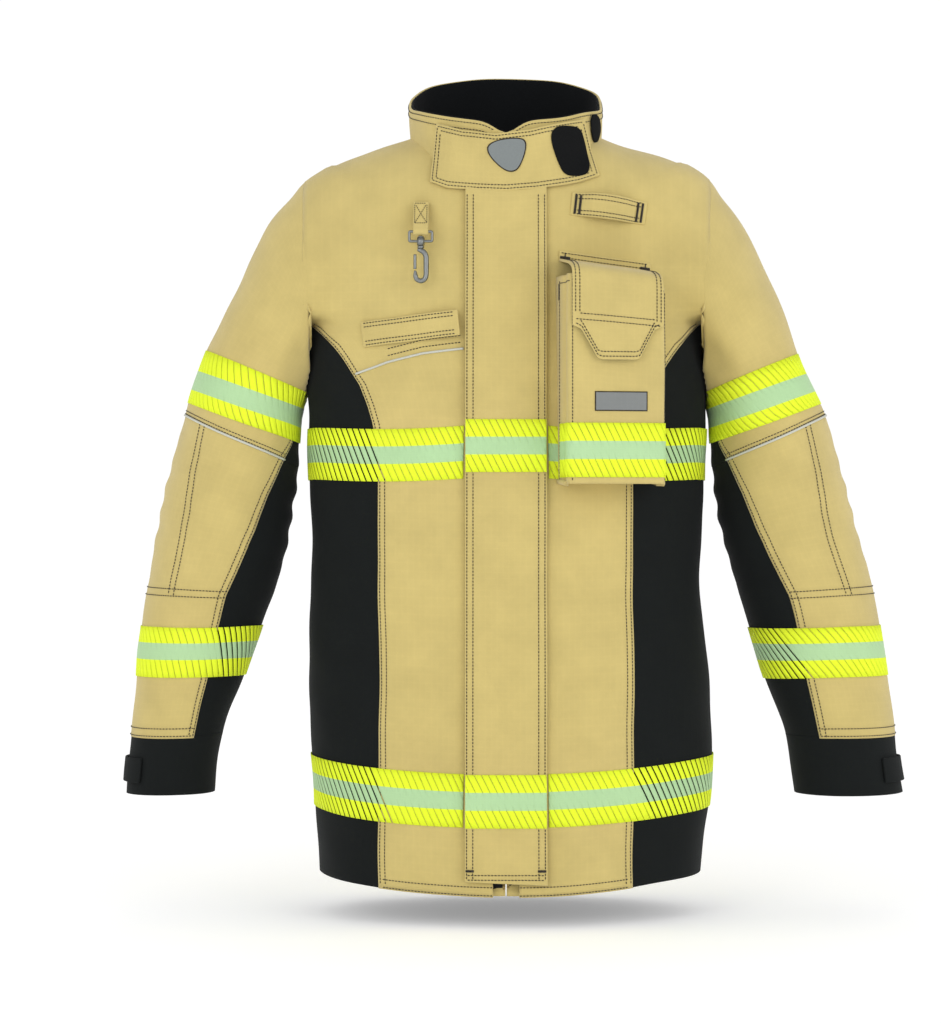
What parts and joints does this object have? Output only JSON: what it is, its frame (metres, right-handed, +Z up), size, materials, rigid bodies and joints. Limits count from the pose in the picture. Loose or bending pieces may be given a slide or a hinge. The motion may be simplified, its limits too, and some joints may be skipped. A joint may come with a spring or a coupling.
{
  "type": "firefighter turnout coat",
  "caption": "Heavy tan and black firefighter's turnout coat with reflective trim, storm flap over a zip, stand collar with throat strap, radio pocket and sleeves.",
  "frame": {"origin": "middle of the neck opening, level with the tops of the wearer's shoulders, where the coat hangs on its wearer", "axes": "+Z up, the wearer faces -Y, the wearer's right is -X"},
  "size_m": [0.8618, 0.3056, 0.917],
  "materials": {
    "tan_shell": "ripstop aramid shell cloth, matte",
    "black_shell": "black stretch aramid cloth, matte",
    "black_lining": "quilted face cloth, matte",
    "lime_trim": "fluorescent lime tape with a retroreflective silver stripe",
    "silver_piping": "retroreflective piping",
    "steel": "plated steel",
    "zip_brass": "antique brass",
    "hook_and_loop": "hook-and-loop tape",
    "knit_wrist": "ribbed knit",
    "grey_badge": "grey woven badge"
  },
  "bodies": {
    "coat_body": {"front_panel_right": "tan_shell", "front_panel_left": "tan_shell", "side_panel_right": "black_shell", "side_panel_left": "black_shell", "zip_tape_right": "black_shell", "zip_tape_left": "black_shell", "zip_teeth_right": "zip_brass", "zip_teeth_left": "zip_brass", "shoulder_right": "tan_shell", "shoulder_left": "tan_shell", "back_panel": "tan_shell", "thermal_liner": "black_lining", "front_loop_tape": "hook_and_loop", "chest_trim": "lime_trim", "hem_trim": "lime_trim", "collar": "tan_shell", "collar_lining": "black_lining", "hanger_loop": "black_shell", "collar_loop_patch": "hook_and_loop", "radio_pocket": "tan_shell", "pocket_trim": "lime_trim", "pocket_label": "grey_badge", "mic_tab": "tan_shell", "chest_piping": "silver_piping", "hook_webbing": "tan_shell"},
    "front_flap": {"storm_flap": "tan_shell", "flap_hook_tape": "hook_and_loop", "chest_trim_flap": "lime_trim", "hem_trim_flap": "lime_trim"},
    "throat_closure": {"throat_strap": "tan_shell", "strap_loop_patch": "hook_and_loop", "strap_badge": "grey_badge"},
    "radio_flap": {"pocket_flap": "tan_shell"},
    "torch_loop": {"torch_strap": "tan_shell"},
    "slider": {"zip_slider": "zip_brass"},
    "pull": {"zip_pull": "zip_brass"},
    "eye": {"snap_eye": "steel"},
    "hook": {"snap_hook": "steel"},
    "gate": {"snap_gate": "steel"},
    "right_upper_arm": {"upper_sleeve_right": "tan_shell", "underarm_upper_right": "black_shell", "upper_trim_right": "lime_trim", "elbow_piping_right": "silver_piping"},
    "right_forearm": {"forearm_right": "tan_shell", "underarm_lower_right": "black_shell", "cuff_right": "black_shell", "lower_trim_right": "lime_trim", "wristlet_right": "knit_wrist", "cuff_tab_right": "black_shell"},
    "left_upper_arm": {"upper_sleeve_left": "tan_shell", "underarm_upper_left": "black_shell", "upper_trim_left": "lime_trim", "elbow_piping_left": "silver_piping"},
    "left_forearm": {"forearm_left": "tan_shell", "underarm_lower_left": "black_shell", "cuff_left": "black_shell", "lower_trim_left": "lime_trim", "wristlet_left": "knit_wrist", "cuff_tab_left": "black_shell"}
  },
  "joints": [
    {"name": "front_flap_hinge", "type": "hinge", "parent": "coat_body", "child": "front_flap", "pos_m": [-0.0435, -0.13, -0.4215], "axis": [0, -0.0474, -0.9989], "range_deg": [0, 110]},
    {"name": "throat_strap_hinge", "type": "hinge", "parent": "coat_body", "child": "throat_closure", "pos_m": [-0.0797, -0.091, 0], "axis": [0, 0, -1], "range_deg": [0, 75]},
    {"name": "radio_flap_hinge", "type": "hinge", "parent": "coat_body", "child": "radio_flap", "pos_m": [0.10694, -0.09857, -0.117], "axis": [-0.9801, -0.1987, 0], "range_deg": [0, 50]},
    {"name": "torch_loop_hinge", "type": "hinge", "parent": "coat_body", "child": "torch_loop", "pos_m": [-0.1565, -0.0947, -0.201], "axis": [0.103, 0, -0.9947], "range_deg": [0, 60]},
    {"name": "zip_slide", "type": "slide", "parent": "coat_body", "child": "slider", "axis": [0, -0.0479, -0.9988], "range_m": [0, 0.7]},
    {"name": "zip_pull_hinge", "type": "hinge", "parent": "slider", "child": "pull", "pos_m": [0, -0.1056, -0.0635], "axis": [-1, 0, 0], "range_deg": [0, 5]},
    {"name": "eye_swing", "type": "hinge", "parent": "coat_body", "child": "eye", "pos_m": [-0.092, -0.12036, -0.0916], "axis": [-1, 0, 0], "range_deg": [-8, 75]},
    {"name": "hook_swivel", "type": "hinge", "parent": "eye", "child": "hook", "pos_m": [-0.092, -0.12036, -0.11], "axis": [0, 0, 1], "continuous": true},
    {"name": "gate_hinge", "type": "hinge", "parent": "hook", "child": "gate", "pos_m": [-0.0987, -0.12036, -0.1165], "axis": [0, -1, 0], "range_deg": [0, 28], "stiffness_Nm_per_rad": 0.02, "springref_deg": -17.19},
    {"name": "shoulder_right_raise", "type": "hinge", "parent": "coat_body", "child": "right_upper_arm", "pos_m": [-0.303, 0, -0.14], "axis": [0, 1, 0], "range_deg": [0, 50]},
    {"name": "elbow_right_bend", "type": "hinge", "parent": "right_upper_arm", "child": "right_forearm", "pos_m": [-0.315, -0.074, -0.412], "axis": [-0.9837, 0, 0.1797], "range_deg": [0, 75]},
    {"name": "shoulder_left_raise", "type": "hinge", "parent": "coat_body", "child": "left_upper_arm", "pos_m": [0.303, 0, -0.14], "axis": [0, -1, 0], "range_deg": [0, 50]},
    {"name": "elbow_left_bend", "type": "hinge", "parent": "left_upper_arm", "child": "left_forearm", "pos_m": [0.315, -0.074, -0.412], "axis": [-0.9837, 0, -0.1797], "range_deg": [0, 75]}
  ]
}
